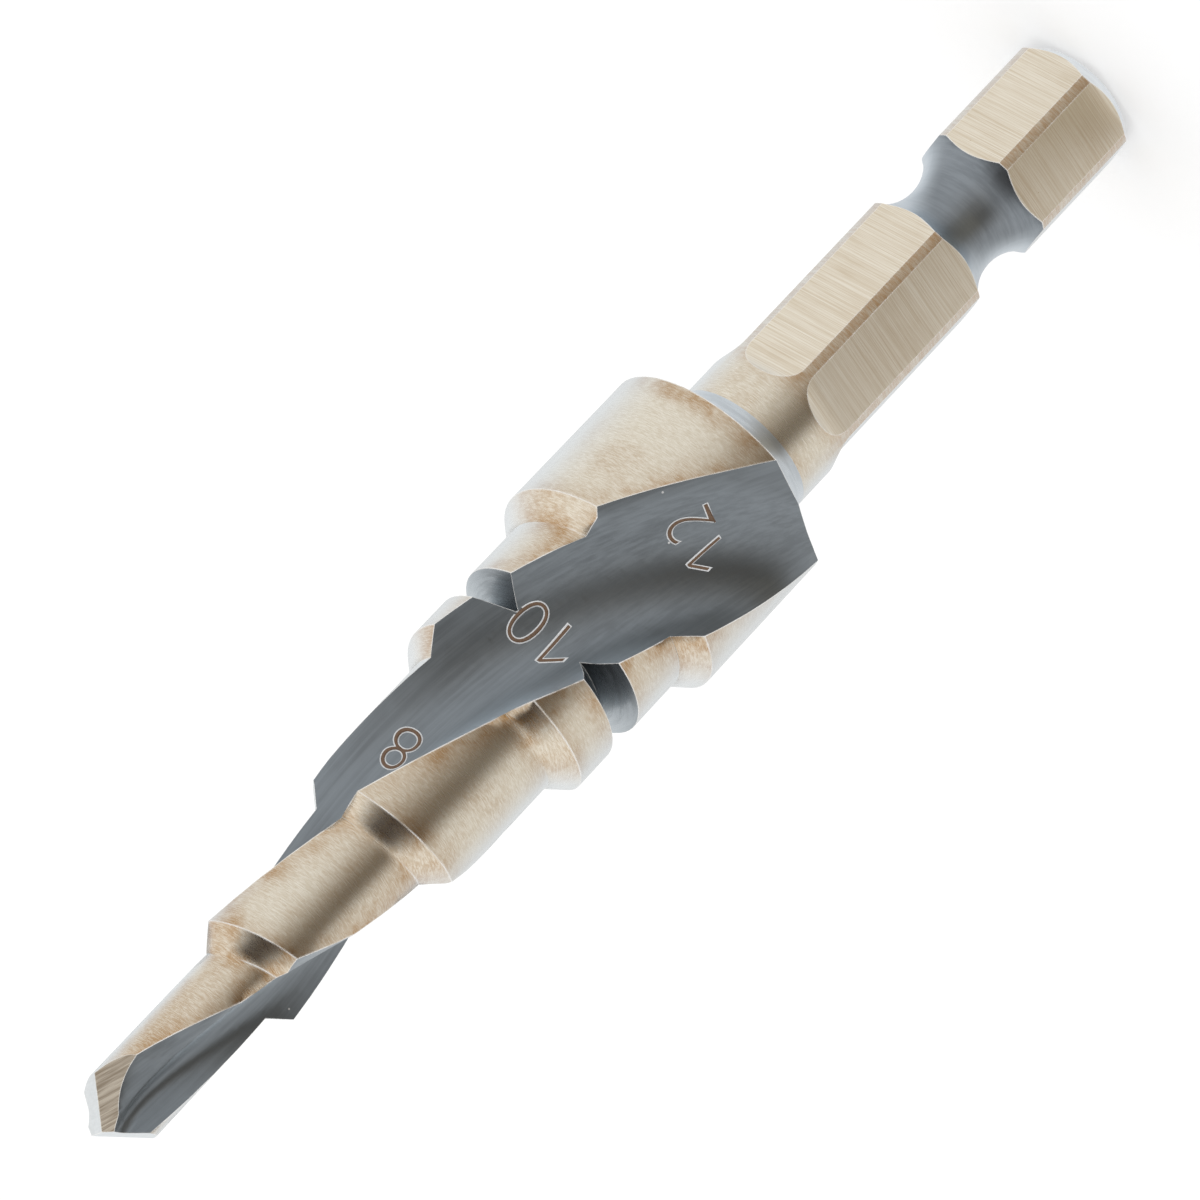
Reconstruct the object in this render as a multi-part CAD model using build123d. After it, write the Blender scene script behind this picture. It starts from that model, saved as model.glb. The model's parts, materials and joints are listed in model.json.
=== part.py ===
from build123d import *

import os
from math import atan2, cos, degrees, hypot, radians, sin, tan

# A step drill ground from one bar: five cutting diameters, two helical flutes, a split point
# and a hexagon shank with a detent groove. It stands on the end of its shank, point up.
# Reach is measured from the point towards the shank, and height from the shank's end face.

# Cutting diameters and where they start
OVERALL_LENGTH = 68.4
PILOT_DIAMETER = 3.9
DIAMETER_STEP = 2.0
STEP_COUNT = 4
FIRST_STEP_REACH = 10.28
STEP_PITCH = 8.14
LAST_STEP_LENGTH = 7.73
STEP_CONE_ANGLE = 45.0
FIRST_STEP_RELIEF = 0.70
STEP_RELIEF_LOSS = 0.11
BACK_TAPER = 0.04

# Point
POINT_ANGLE = 118.0
LIP_RELIEF_ANGLE = 35.0
HEEL_FACET_BEARING = 104.0
HEEL_FACET_ANGLE = 67.3
HEEL_FACET_SETBACK = 0.54

# Flutes: a radial rake wall, a rounded root, a flat floor and a facet that frees the heel,
# over a core that swells at the point and lifts out of the metal at the rim
RAKE_BEARING_AT_POINT = 127.9
TWIST_RATE_AT_POINT = 5.788
TWIST_RATE_LOSS = 0.0367
WEB_AT_POINT = 0.30
WEB_TAPER = 0.020
POINT_SWELL_REACH = 3.6
POINT_WEB_SWELL = 0.75
POINT_HEEL_SWELL = 1.0
RUNOUT_REACH = 28.0
RUNOUT_LIFT = 3.9
RUNOUT_FLOOR_LEAN = 24.0
RUNOUT_ROOT_SHIFT = 2.25
RUNOUT_OVERSHOOT = 0.4
HEEL_LEAN_ANGLE = 40.0
HEEL_DEPTH_AT_POINT = 0.42
HEEL_DEPTH_TAPER = 0.143
HEEL_DEPTH_TAPER_LOSS = 0.0014
ROOT_FILLET_SHARE = 0.65
FLUTE_SECTION_SPACING = 2.0

# Chip breaking groove round the second largest step
CHIP_GROOVE_REACH = 30.15
CHIP_GROOVE_DIAMETER = 6.3
CHIP_GROOVE_FRONT_ANGLE = 32.0
CHIP_GROOVE_REAR_ANGLE = 21.0

# Neck and shank
SHANK_CORNER_DIAMETER = 7.06
NECK_FILLET_RADIUS = 1.76
HEX_WIDTH = 6.35
HEX_LENGTH = 20.8
HEX_RUNOUT_RADIUS = 2.6
DETENT_HEIGHT = 9.2
DETENT_DIAMETER = 4.73
DETENT_ARC_RADIUS = 2.9
END_CHAMFER = 0.8

# Room that a cutting body keeps beyond the metal that it cuts
CUT_MARGIN = 2.0

# Worked out from the sizes above
pilot_radius = PILOT_DIAMETER / 2
radius_step = DIAMETER_STEP / 2
largest_radius = pilot_radius + STEP_COUNT * radius_step
corner_radius = SHANK_CORNER_DIAMETER / 2
rim_reach = FIRST_STEP_REACH + (STEP_COUNT - 1) * STEP_PITCH + LAST_STEP_LENGTH
rim_height = OVERALL_LENGTH - rim_reach
neck_top_height = rim_height - NECK_FILLET_RADIUS
cone_slope = 1 / tan(radians(STEP_CONE_ANGLE))
cut_radius = largest_radius + CUT_MARGIN


def rake_bearing(reach):
    """Angle of the rake wall about the axis, at a reach from the point."""
    return RAKE_BEARING_AT_POINT - TWIST_RATE_AT_POINT * reach + TWIST_RATE_LOSS / 2 * reach**2


def polar(radius, bearing):
    """Point in the plane of a section."""
    return Vector(radius * cos(radians(bearing)), radius * sin(radians(bearing)))


def revolved(*outline):
    """Solid turned about the axis from an outline of radius and height."""
    return revolve(Plane.XZ * make_face(Polyline(*outline, close=True)), Axis.Z)


def shank_blank():
    """Round bar behind the steps, with the fillet under the rim and the chamfered end."""
    fillet_top = (corner_radius + NECK_FILLET_RADIUS, rim_height)
    outline = Polyline(
        fillet_top,
        (largest_radius - BACK_TAPER, rim_height),
        (largest_radius - BACK_TAPER, rim_height + CUT_MARGIN),
        (0, rim_height + CUT_MARGIN),
        (0, 0),
        (corner_radius - END_CHAMFER, 0),
        (corner_radius, END_CHAMFER),
        (corner_radius, neck_top_height),
    )
    fillet_centre = (corner_radius + NECK_FILLET_RADIUS, neck_top_height)
    under_rim = CenterArc(fillet_centre, NECK_FILLET_RADIUS, 90, 90)
    return revolve(Plane.XZ * make_face(outline + under_rim), Axis.Z)


def step_cone(reach, radius, relief, turn):
    """Cone that fronts one land of a step, set off towards its cutting edge for relief."""
    height = OVERALL_LENGTH - reach
    base_radius = radius - relief + cut_radius
    base_height = height - cut_radius * cone_slope
    tip_height = base_height + base_radius * cone_slope
    cone = revolved((0, base_height), (base_radius, base_height), (0, tip_height))
    offset = polar(relief, rake_bearing(reach) + turn)
    return Pos(offset.X, offset.Y, 0) * cone


def step_body(index):
    """One cutting diameter: a nearly straight cylinder behind a relieved cone on each land."""
    radius = pilot_radius + index * radius_step
    relief = FIRST_STEP_RELIEF - (index - 1) * STEP_RELIEF_LOSS
    reach = FIRST_STEP_REACH + (index - 1) * STEP_PITCH
    tail = LAST_STEP_LENGTH if index == STEP_COUNT else STEP_PITCH
    base = OVERALL_LENGTH - reach - tail
    top = OVERALL_LENGTH - reach + radius_step * cone_slope
    blank = revolved((0, base), (radius - BACK_TAPER, base), (radius, top), (0, top))
    flute_middle = rake_bearing(reach) + HEEL_LEAN_ANGLE
    lands = Part()
    for turn in (0, 180):
        away_from_land = Plane(origin=(0, 0, 0), z_dir=polar(1, flute_middle + 90 + turn))
        land = split(blank, bisect_by=away_from_land, keep=Keep.BOTTOM)
        lands += land & step_cone(reach, radius, relief, turn)
    return lands


def pilot_body():
    """Smallest cutting diameter, left long at the point for the facets to cut."""
    base = OVERALL_LENGTH - FIRST_STEP_REACH - radius_step * 2
    top = OVERALL_LENGTH
    return revolved((0, base), (pilot_radius - BACK_TAPER, base), (pilot_radius, top), (0, top))


def facet(bearing, steepness, setback, turn):
    """Block above one flat facet of the point, whose surface falls away along a bearing."""
    fall = rake_bearing(0) - bearing + turn
    foot = polar(setback, fall)
    slope = polar(tan(radians(steepness)), fall)
    surface = Plane(
        origin=(foot.X, foot.Y, OVERALL_LENGTH),
        x_dir=polar(1, fall + 90),
        z_dir=(slope.X, slope.Y, 1),
    )
    side = 8 * cut_radius
    return surface * Box(side, side, side, align=(Align.CENTER, Align.CENTER, Align.MIN))


def point_cuts():
    """The two facets of each lip: the lip's own relief and the steeper one at its heel."""
    lip_fall = 1 / tan(radians(POINT_ANGLE / 2))
    relief_fall = tan(radians(LIP_RELIEF_ANGLE))
    lip_bearing = degrees(atan2(relief_fall, lip_fall))
    lip_steepness = degrees(atan2(hypot(lip_fall, relief_fall), 1))
    for turn in (0, 180):
        yield facet(lip_bearing, lip_steepness, 0, turn)
        yield facet(HEEL_FACET_BEARING, HEEL_FACET_ANGLE, HEEL_FACET_SETBACK, turn)


def flute_section(reach):
    """Outline of the flute at a reach, with the rake wall meeting the land on its own bearing."""
    runout = (max(reach - RUNOUT_REACH, 0) / (rim_reach - RUNOUT_REACH)) ** 2
    swell = max(1 - reach / POINT_SWELL_REACH, 0) ** 2
    floor_lean = radians(RUNOUT_FLOOR_LEAN * runout)
    heel_lean = radians(HEEL_LEAN_ANGLE)
    floor_depth = WEB_AT_POINT + WEB_TAPER * reach + RUNOUT_LIFT * runout + POINT_WEB_SWELL * swell
    heel_taper = HEEL_DEPTH_TAPER * reach - HEEL_DEPTH_TAPER_LOSS / 2 * reach**2
    heel_depth = HEEL_DEPTH_AT_POINT + heel_taper + POINT_HEEL_SWELL * swell
    up_floor = Vector(-sin(floor_lean), cos(floor_lean))
    root_out = RUNOUT_ROOT_SHIFT * runout
    corner = Vector((floor_depth - root_out * sin(floor_lean)) / cos(floor_lean), root_out)
    corner_depth = corner.X * cos(heel_lean) + corner.Y * sin(heel_lean)
    floor_length = (heel_depth - corner_depth) / sin(heel_lean - floor_lean)
    knee = corner + up_floor * floor_length
    cutting_edge = Vector(largest_radius, 0)
    up_rake = (cutting_edge - corner).normalized()
    root = ROOT_FILLET_SHARE * floor_length
    walls = Polyline(
        corner + up_floor * root,
        knee,
        (knee.X - (cut_radius - knee.Y) * tan(heel_lean), cut_radius),
        (cut_radius, cut_radius),
        cutting_edge + up_rake * CUT_MARGIN,
        corner + up_rake * root,
    )
    fillet_arc = TangentArc(corner + up_floor * root, corner + up_rake * root, tangent=up_floor * -1)
    origin = (0, 0, OVERALL_LENGTH - reach)
    frame = Plane(origin=origin, x_dir=polar(1, rake_bearing(reach)), z_dir=(0, 0, 1))
    return frame * make_face(walls + fillet_arc)


def flute():
    """Cutting body of one flute, lofted along the twist until the wheel leaves the metal."""
    first = -CUT_MARGIN / 2
    last = rim_reach + RUNOUT_OVERSHOOT
    count = round((last - first) / FLUTE_SECTION_SPACING)
    reaches = [first + (last - first) * i / count for i in range(count + 1)]
    return loft([flute_section(reach) for reach in reaches])


def chip_groove():
    """V ring cut through the lands of the second largest step."""
    root = CHIP_GROOVE_DIAMETER / 2
    height = OVERALL_LENGTH - CHIP_GROOVE_REACH
    depth = cut_radius - root
    front = height + depth * tan(radians(CHIP_GROOVE_FRONT_ANGLE))
    rear = height - depth * tan(radians(CHIP_GROOVE_REAR_ANGLE))
    return revolved((root, height), (cut_radius, rear), (cut_radius, front))


def hex_flat_cut(turn):
    """Bar beyond one flat of the hexagon, rounded where the cutter ran out towards the neck."""
    flat = HEX_WIDTH / 2
    outer = flat + HEX_RUNOUT_RADIUS
    straight = Polyline(
        (outer, HEX_LENGTH + HEX_RUNOUT_RADIUS),
        (outer, -CUT_MARGIN),
        (flat, -CUT_MARGIN),
        (flat, HEX_LENGTH),
    )
    rounded = CenterArc((outer, HEX_LENGTH), HEX_RUNOUT_RADIUS, 90, 90)
    bar = extrude(Plane.XZ * make_face(straight + rounded), corner_radius, both=True)
    return Rot(0, 0, turn) * bar


def detent_groove():
    """Round groove that a chuck's ball drops into."""
    root = DETENT_DIAMETER / 2
    ring = Pos(root + DETENT_ARC_RADIUS, DETENT_HEIGHT) * Circle(DETENT_ARC_RADIUS)
    return revolve(Plane.XZ * ring, Axis.Z)


def step_drill():
    """The whole drill as one solid."""
    drill = shank_blank() + pilot_body()
    for index in range(1, STEP_COUNT + 1):
        drill += step_body(index)
    drill -= chip_groove()
    for turn in range(6):
        drill -= hex_flat_cut(30 + 60 * turn)
    drill -= detent_groove()
    one_flute = flute()
    drill -= one_flute
    drill -= Rot(0, 0, 180) * one_flute
    for cut in point_cuts():
        drill -= cut
    return drill


os.makedirs("parts", exist_ok=True)
export_step(step_drill(), "parts/step_drill.step")
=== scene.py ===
"""Looks of the step drill: finishes, step marks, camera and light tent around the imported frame."""

from __future__ import annotations

import json
import logging
import math
from dataclasses import dataclass, field
from enum import Enum
from typing import Any, Callable

import bpy
from mathutils import Matrix, Vector

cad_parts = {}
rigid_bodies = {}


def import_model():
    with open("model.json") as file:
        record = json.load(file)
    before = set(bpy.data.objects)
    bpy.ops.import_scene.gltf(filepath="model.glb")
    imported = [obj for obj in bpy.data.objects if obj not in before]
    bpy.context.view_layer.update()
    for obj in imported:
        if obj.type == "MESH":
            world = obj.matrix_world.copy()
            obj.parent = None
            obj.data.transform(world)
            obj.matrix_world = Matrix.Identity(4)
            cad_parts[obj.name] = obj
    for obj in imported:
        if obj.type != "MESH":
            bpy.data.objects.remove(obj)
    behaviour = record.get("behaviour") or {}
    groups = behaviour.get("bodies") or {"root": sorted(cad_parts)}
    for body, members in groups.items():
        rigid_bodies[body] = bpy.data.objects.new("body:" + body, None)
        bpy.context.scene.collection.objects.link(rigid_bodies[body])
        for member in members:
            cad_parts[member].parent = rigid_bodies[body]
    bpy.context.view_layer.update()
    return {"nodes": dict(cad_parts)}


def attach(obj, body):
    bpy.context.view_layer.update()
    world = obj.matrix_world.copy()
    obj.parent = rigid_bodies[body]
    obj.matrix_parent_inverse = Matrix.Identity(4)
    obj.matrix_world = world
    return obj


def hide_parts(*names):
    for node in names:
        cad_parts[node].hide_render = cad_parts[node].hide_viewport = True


LOG = logging.getLogger("step_drill")
MM = 0.001
NODE = "step_drill"
MIX_INPUTS = (0, 6, 7)
MIX_OUTPUT = 2
WHITE = (1.0, 1.0, 1.0)
BLACK = (0.0, 0.0, 0.0)
Colour = tuple[float, float, float]
Piece = bpy.types.Object
Socket = bpy.types.NodeSocket


class Finish(Enum):
    """Finishes of the drill's faces, in the order of the body's material slots."""

    LAND = 0
    HEX_FLAT = 1
    FLUTE = 2
    GROOVE = 3
    POINT_LIP = 4
    POINT_HEEL = 5
    SHANK_END = 6
    CHIP_GROOVE = 7
    NECK = 8


@dataclass(frozen=True)
class Grain:
    """How a mask is drawn from noise: its octaves, their strength and the range that counts."""

    octaves: float
    fineness: float
    low: float
    high: float
    least: float = 0.0


@dataclass(frozen=True)
class DrillSizes:
    """Sizes of the drill that finishes and marks are placed by, in millimetres and degrees."""

    length: float = 68.4
    hex_half_width: float = 3.175
    corner_radius: float = 3.53
    neck_top: float = 24.2
    rim_height: float = 25.97
    detent_low: float = 6.5
    detent_high: float = 11.9
    chip_groove_low: float = 36.4
    chip_groove_high: float = 39.8
    end_chamfer: float = 0.8
    pilot_radius: float = 1.95
    radius_step: float = 1.0
    step_count: int = 4
    first_step_reach: float = 10.28
    step_pitch: float = 8.14
    foot_radius: float = 0.8
    foot_reach: float = 1.1
    foot_line_reach: float = 0.5
    cone_above: float = 1.1
    cone_below: float = 0.9
    plain_above_rim: float = 2.0
    corner_tint_full: float = 21.0
    corner_tint_gone: float = 22.5
    grind_across: tuple[float, float, float] = (0.183, -0.874, 0.449)
    grind_along: tuple[float, float, float] = (0.507, -0.308, -0.805)
    twist_rate: float = 5.788
    twist_loss: float = 0.0367

    def land_radii(self) -> list[float]:
        """Outer radius of each cutting diameter."""
        return [self.pilot_radius + i * self.radius_step for i in range(self.step_count + 1)]

    def on_cone(self, height: float) -> bool:
        """Tell whether a height lies within the cone of a step."""
        tops = [self.length - self.first_step_reach - i * self.step_pitch
                for i in range(self.step_count)]
        return any(top - self.cone_below < height < top + self.cone_above for top in tops)


class Sheet:
    """Node tree under construction, with short ways to add and join nodes."""

    def __init__(self, tree: bpy.types.NodeTree) -> None:
        """Start on a tree.

        Args:
            tree: Node tree of a material, world or group.
        """
        self.tree = tree

    def node(self, kind: str, **settings: Any) -> bpy.types.Node:
        """Add a node.

        Args:
            kind: Node type without its ShaderNode prefix.
            settings: Properties to set on the node.

        Returns:
            The new node.
        """
        made = self.tree.nodes.new(kind if kind.startswith("Node") else "ShaderNode" + kind)
        for name, value in settings.items():
            setattr(made, name, value)
        return made

    def feed(self, socket: Socket, value: Any) -> None:
        """Join a socket to another one, or set its value.

        Args:
            socket: Input socket.
            value: Output socket, number, vector, or colour of three numbers.
        """
        if isinstance(value, Socket):
            self.tree.links.new(value, socket)
        elif socket.type == "RGBA":
            socket.default_value = (*value, 1.0)
        else:
            socket.default_value = value

    def fed(self, kind: str, *values: Any, **settings: Any) -> bpy.types.Node:
        """Add a node and feed its inputs in order.

        Args:
            kind: Node type without its ShaderNode prefix.
            values: Its inputs, of which the last ones may be left out.
            settings: Properties to set on the node.

        Returns:
            The new node.
        """
        made = self.node(kind, **settings)
        for socket, value in zip(made.inputs, values):
            self.feed(socket, value)
        return made

    def fill(self, node: bpy.types.Node, **values: Any) -> bpy.types.Node:
        """Feed inputs of a node by name.

        Args:
            node: The node.
            values: Its inputs, by name with spaces as underscores.

        Returns:
            The same node.
        """
        for name, value in values.items():
            self.feed(node.inputs[name.replace("_", " ")], value)
        return node

    def math(self, operation: str, *values: Any) -> Socket:
        """Result of a Math node."""
        return self.fed("Math", *values, operation=operation).outputs[0]

    def vector(self, operation: str, *values: Any) -> Socket:
        """Result of a Vector Math node, which is a number for a dot product."""
        made = self.fed("VectorMath", *values, operation=operation)
        return made.outputs["Value" if operation == "DOT_PRODUCT" else "Vector"]

    def scaled(self, vector: Any, amount: Any) -> Socket:
        """Vector times one number."""
        made = self.node("VectorMath", operation="SCALE")
        return self.fill(made, Vector=vector, Scale=amount).outputs[0]

    def joined(self, *values: Any) -> Socket:
        """Vector of up to three numbers."""
        return self.fed("CombineXYZ", *values).outputs[0]

    def parts(self, vector: Any) -> bpy.types.NodeOutputs:
        """X, Y and Z of a vector."""
        return self.fed("SeparateXYZ", vector).outputs

    def blend(self, amount: Any, first: Any, second: Any) -> Socket:
        """Mix two colours.

        Args:
            amount: Share of the second colour.
            first: Colour or socket.
            second: Colour or socket.

        Returns:
            The mixed colour's socket.
        """
        made = self.node("Mix", data_type="RGBA")
        for index, value in zip(MIX_INPUTS, (amount, first, second)):
            self.feed(made.inputs[index], value)
        return made.outputs[MIX_OUTPUT]

    def span(self, value: Any, low: float, high: float,
             out_low: float = 0.0, out_high: float = 1.0) -> Socket:
        """Map a range smoothly onto another one."""
        made = self.fed("MapRange", value, low, high, out_low, out_high,
                        interpolation_type="SMOOTHSTEP")
        return made.outputs[0]

    def noise(self, place: Any, detail: float, roughness: float = 0.6) -> Socket:
        """Noise texture of scale 1."""
        made = self.node("TexNoise")
        self.fill(made, Vector=place, Scale=1.0, Detail=detail, Roughness=roughness)
        return made.outputs[0]

    def grain(self, place: Any, grain: Grain) -> Socket:
        """Mask drawn from noise at some coordinates."""
        noise = self.noise(place, grain.octaves, grain.fineness)
        return self.span(noise, grain.low, grain.high, grain.least)

    def millimetres(self) -> Socket:
        """Object coordinates in millimetres."""
        place = self.node("TexCoord").outputs["Object"]
        return self.vector("MULTIPLY", place, (1 / MM, 1 / MM, 1 / MM))


class Effect(Enum):
    """Shared shader groups."""

    TURNED_LINES = "Turned lines"
    FLUTE_LINES = "Flute lines"
    POINT_LINES = "Point lines"
    # Edge band, which carries the painted edge highlight and the edge tint.
    EDGE_WEAR = "Edge wear"
    SMUDGES = "Smudges"
    SPECKS = "Specks"


TURNED_GRAIN = Grain(octaves=4.0, fineness=0.7, low=0.32, high=0.68)
FLUTE_GRAIN = Grain(octaves=3.0, fineness=0.65, low=0.3, high=0.7)
POINT_GRAIN = Grain(octaves=3.0, fineness=0.7, low=0.35, high=0.65)
EDGE_BAND_GRAIN = Grain(octaves=2.0, fineness=0.6, low=0.3, high=0.6, least=0.45)
SMUDGE_GRAIN = Grain(octaves=3.0, fineness=0.55, low=0.42, high=0.68)


@dataclass
class EffectLibrary:
    """Shader groups that several finishes use, each built once."""

    sizes: DrillSizes
    edge_band_samples: int = 6
    edge_band_starts: float = 0.997
    edge_band_full: float = 0.95
    groups: dict[Effect, bpy.types.NodeTree] = field(default_factory=dict)

    def build(self) -> None:
        """Build every group."""
        lines = {"Lines per mm": 6.0, "Length per mm": 0.3}
        turned = {**lines, "Offset": 0.0}
        self._group(Effect.TURNED_LINES, turned, self._turned_lines)
        self._group(Effect.FLUTE_LINES, lines, self._flute_lines)
        self._group(Effect.POINT_LINES, lines, self._point_lines)
        self._group(Effect.EDGE_WEAR, {"Width mm": 0.05}, self._edge_highlight_and_tint_band)
        self._group(Effect.SMUDGES, {"Patches per mm": 0.3, "Offset": 0.0}, self._smudges)
        cells = {"Cells per mm": 1.2, "Size": 0.06, "Share": 0.2}
        self._group(Effect.SPECKS, cells, self._specks)

    def place(self, sheet: Sheet, effect: Effect, **values: float) -> Socket:
        """Place a group in a material and give its mask."""
        made = sheet.node("Group", node_tree=self.groups[effect])
        return sheet.fill(made, **values).outputs["Mask"]

    def _group(self, effect: Effect, inputs: dict[str, float],
               draw: Callable[[Sheet, Any], Socket]) -> None:
        """Build a group with number inputs and one mask output.

        Args:
            effect: Which group.
            inputs: Names and default values of the inputs.
            draw: What draws the mask, from the group's sheet and its input sockets by name.
        """
        tree = bpy.data.node_groups.new(effect.value, "ShaderNodeTree")
        number = "NodeSocketFloat"
        for name, value in inputs.items():
            socket = tree.interface.new_socket(name=name, in_out="INPUT", socket_type=number)
            socket.default_value = value
        tree.interface.new_socket(name="Mask", in_out="OUTPUT", socket_type=number)
        sheet = Sheet(tree)
        mask = draw(sheet, sheet.node("NodeGroupInput").outputs)
        sheet.feed(sheet.node("NodeGroupOutput").inputs[0], mask)
        self.groups[effect] = tree

    def _turned_lines(self, sheet: Sheet, given: Any) -> Socket:
        """Fine lines round the axis, as a grinding wheel leaves on a turning bar.

        Args:
            sheet: The group's sheet.
            given: Its input sockets, by name.

        Returns:
            The mask.
        """
        length = given["Length per mm"]
        stretch = sheet.joined(length, length, given["Lines per mm"])
        place = sheet.vector("MULTIPLY", sheet.millimetres(), stretch)
        shift = sheet.joined(0.0, 0.0, given["Offset"])
        return sheet.grain(sheet.vector("ADD", place, shift), TURNED_GRAIN)

    def _flute_lines(self, sheet: Sheet, given: Any) -> Socket:
        """Fine lines along the twist of the flutes.

        Args:
            sheet: The group's sheet.
            given: Its input sockets, by name.

        Returns:
            The mask.
        """
        place = sheet.millimetres()
        reach = sheet.math("SUBTRACT", self.sizes.length, sheet.parts(place)[2])
        slowing = sheet.math("MULTIPLY", reach, self.sizes.twist_loss / 2)
        rate = sheet.math("SUBTRACT", self.sizes.twist_rate, slowing)
        angle = sheet.math("RADIANS", sheet.math("MULTIPLY", reach, rate))
        spin = sheet.node("VectorRotate", rotation_type="Z_AXIS")
        sheet.fill(spin, Vector=place, Angle=angle)
        lines = given["Lines per mm"]
        stretch = sheet.joined(lines, lines, given["Length per mm"])
        return sheet.grain(sheet.vector("MULTIPLY", spin.outputs[0], stretch), FLUTE_GRAIN)

    def _point_lines(self, sheet: Sheet, given: Any) -> Socket:
        """Straight lines that the wheel left down the heel facets of the point.

        Args:
            sheet: The group's sheet.
            given: Its input sockets, by name.

        Returns:
            The mask.
        """
        place = sheet.millimetres()
        across = sheet.vector("DOT_PRODUCT", place, self.sizes.grind_across)
        along = sheet.vector("DOT_PRODUCT", place, self.sizes.grind_along)
        grid = sheet.joined(sheet.math("MULTIPLY", across, given["Lines per mm"]),
                            sheet.math("MULTIPLY", along, given["Length per mm"]))
        return sheet.grain(grid, POINT_GRAIN)

    def _edge_highlight_and_tint_band(self, sheet: Sheet, given: Any) -> Socket:
        """Thin band along every sharp edge, a little uneven, for the painted edge highlight and the
        edge tint.

        Args:
            sheet: The group's sheet.
            given: Its input sockets, by name.

        Returns:
            The mask.
        """
        width = sheet.math("MULTIPLY", given["Width mm"], MM)
        rounded = sheet.fed("Bevel", width, samples=self.edge_band_samples)
        true_normal = sheet.node("NewGeometry").outputs["Normal"]
        facing = sheet.vector("DOT_PRODUCT", rounded.outputs[0], true_normal)
        band = sheet.span(facing, self.edge_band_starts, self.edge_band_full)
        return sheet.math("MULTIPLY", band, sheet.grain(sheet.millimetres(), EDGE_BAND_GRAIN))

    def _smudges(self, sheet: Sheet, given: Any) -> Socket:
        """Soft patches of handling and heat tint.

        Args:
            sheet: The group's sheet.
            given: Its input sockets, by name.

        Returns:
            The mask.
        """
        place = sheet.scaled(sheet.millimetres(), given["Patches per mm"])
        shifted = sheet.vector("ADD", place, sheet.joined(given["Offset"]))
        return sheet.grain(shifted, SMUDGE_GRAIN)

    def _specks(self, sheet: Sheet, given: Any) -> Socket:
        """Sparse round specks, each in its own cell.

        Args:
            sheet: The group's sheet.
            given: Its input sockets, by name.

        Returns:
            The mask.
        """
        place = sheet.scaled(sheet.millimetres(), given["Cells per mm"])
        cells = sheet.fill(sheet.node("TexVoronoi"), Vector=place, Scale=1.0)
        pick = sheet.fed("SeparateColor", cells.outputs["Color"])
        chosen = sheet.math("LESS_THAN", pick.outputs[0], given["Share"])
        near = sheet.math("LESS_THAN", cells.outputs["Distance"], given["Size"])
        return sheet.math("MULTIPLY", chosen, near)


def new_material(name: str) -> tuple[bpy.types.Material, Sheet, bpy.types.Node]:
    """Start a material.

    Args:
        name: Its name.

    Returns:
        The material, its sheet and its shader.
    """
    material = bpy.data.materials.new(name)
    material.use_nodes = True
    tree = material.node_tree
    return material, Sheet(tree), tree.nodes["Principled BSDF"]


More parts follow.
